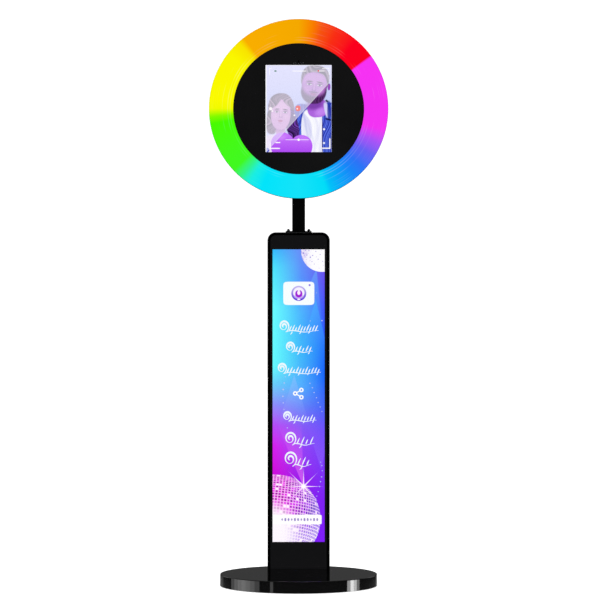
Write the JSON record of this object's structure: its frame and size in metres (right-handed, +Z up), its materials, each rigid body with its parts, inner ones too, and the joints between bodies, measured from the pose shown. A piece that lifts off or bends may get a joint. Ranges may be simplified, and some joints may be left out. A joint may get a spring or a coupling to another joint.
{
  "type": "photo booth",
  "caption": "Free-standing photo booth: round weighted base, slim column with a tall lit screen, neck, and a tilting, turning round head with ring light and tablet.",
  "frame": {"origin": "centre of the round base's underside, on the floor", "axes": "+Z up; the screen and the ring light face -Y; +X is to the right as seen from the front"},
  "size_m": [0.5199, 0.45, 1.632],
  "materials": {
    "black_paint": "satin black powder coat",
    "base_gloss": "gloss black lacquer",
    "face_satin": "fine satin black",
    "bare_steel": "rolled steel, lightly oiled",
    "zinc_plate": "bright zinc plate",
    "tray_aluminium": "pressed sheet, mill finish",
    "black_screws": "black oxide",
    "hinge_steel": "black-painted steel",
    "lock_chrome": "polished",
    "spring_steel": "bright spring steel",
    "magnet_nickel": "nickel plate",
    "rubber_feet": "matte",
    "front_glass": "clear toughened glass",
    "lcd_picture": "lit picture of an advertisement in blue, violet and magenta",
    "tablet_picture": "lit picture",
    "opal_ring": "opal diffuser, lit in bands of orange, red, magenta, blue, cyan, green and yellow",
    "black_plastic": "fine moulded grain",
    "black_gloss_plastic": "glossy",
    "button_grey": "smooth",
    "nylon": "natural nylon",
    "board_green": "solder mask",
    "board_white": "white solder mask",
    "led_cells": "moulded lamp",
    "tablet_aluminium": "blasted and anodised",
    "lead_sheath": "soft sheath"
  },
  "bodies": {
    "stand": {"base_cover": "base_gloss", "base_weight": "bare_steel", "base_floor_plate": "zinc_plate", "base_feet": "rubber_feet", "base_floor_screws": "black_screws", "column_bolts": "zinc_plate", "column_nuts": "zinc_plate", "column_shell": "black_paint", "column_foot_plate": "bare_steel", "column_top_plate": "bare_steel", "column_glass": "front_glass", "lcd_screen": "lcd_picture", "lcd_backlight": "tray_aluminium", "lcd_brackets": "bare_steel", "power_supply": "tray_aluminium", "lcd_driver_board": "board_green", "mains_lead": "lead_sheath", "screen_lead": "lead_sheath", "inlet_socket": "black_plastic", "inlet_blades": "zinc_plate", "inlet_screws": "black_screws", "door_hinge_fixed_leaves": "hinge_steel", "door_hinge_pins": "zinc_plate", "neck_flange": "black_paint", "neck_nuts": "zinc_plate", "neck_tube": "black_paint", "neck_end_cap": "black_plastic", "tilt_sleeve": "zinc_plate", "tilt_washers": "nylon"},
    "rocker": {"power_rocker": "black_gloss_plastic"},
    "door": {"column_door": "black_paint", "door_hinge_moving_leaves": "hinge_steel", "door_lock_barrel": "lock_chrome"},
    "lock": {"door_lock_plug": "lock_chrome", "door_lock_cam": "lock_chrome"},
    "yoke": {"tilt_yoke": "black_paint", "tilt_bolt": "zinc_plate", "hub_pivot_bolt": "zinc_plate", "hub_washer": "nylon"},
    "knob": {"tilt_knob": "black_plastic"},
    "head": {"hub_plate": "black_paint", "hub_plate_screws": "black_screws", "ring_diffuser": "opal_ring", "ring_housing": "black_plastic", "led_board": "board_white", "leds": "led_cells", "tablet_pan": "black_paint", "pan_screws": "black_screws", "tablet_cradle": "black_plastic", "cradle_clips": "spring_steel", "tablet_glass": "front_glass", "tablet_display": "tablet_picture", "tablet_case": "tablet_aluminium", "light_controller": "black_plastic", "light_socket": "black_gloss_plastic"},
    "faceplate": {"faceplate": "face_satin", "faceplate_magnets": "magnet_nickel"},
    "power_button": {"light_power_button": "button_grey"},
    "colour_button": {"light_colour_button": "button_grey"},
    "dimmer_button": {"light_dimmer_button": "button_grey"}
  },
  "joints": [
    {"name": "head_tilt", "type": "hinge", "parent": "stand", "child": "yoke", "pos_m": [0, 0.163, 1.372], "axis": [-1, 0, 0], "range_deg": [-8, 35]},
    {"name": "head_turn", "type": "hinge", "parent": "yoke", "child": "head", "pos_m": [0, 0.115, 1.372], "axis": [0, 1, 0], "range_deg": [0, 90]},
    {"name": "tilt_knob_turn", "type": "hinge", "parent": "yoke", "child": "knob", "pos_m": [0.03, 0.163, 1.372], "axis": [1, 0, 0], "range_deg": [0, 270]},
    {"name": "faceplate_pull", "type": "slide", "parent": "head", "child": "faceplate", "axis": [0, -1, 0], "range_m": [0, 0.08]},
    {"name": "light_power_press", "type": "slide", "parent": "head", "child": "power_button", "axis": [0, -1, 0], "range_m": [0, 0.001], "stiffness_N_per_m": 900},
    {"name": "light_colour_press", "type": "slide", "parent": "head", "child": "colour_button", "axis": [0, -1, 0], "range_m": [0, 0.001], "stiffness_N_per_m": 900},
    {"name": "light_dimmer_press", "type": "slide", "parent": "head", "child": "dimmer_button", "axis": [0, -1, 0], "range_m": [0, 0.001], "stiffness_N_per_m": 900},
    {"name": "door_swing", "type": "hinge", "parent": "stand", "child": "door", "pos_m": [-0.0705, 0.2022, 0.52], "axis": [0, 0, 1], "range_deg": [0, 110]},
    {"name": "lock_turn", "type": "hinge", "parent": "door", "child": "lock", "pos_m": [0.052, 0.195, 0.52], "axis": [0, 1, 0], "range_deg": [0, 90]},
    {"name": "power_switch", "type": "hinge", "parent": "stand", "child": "rocker", "pos_m": [0.0155, 0.1975, 0.08], "axis": [1, 0, 0], "range_deg": [0, 16]}
  ]
}
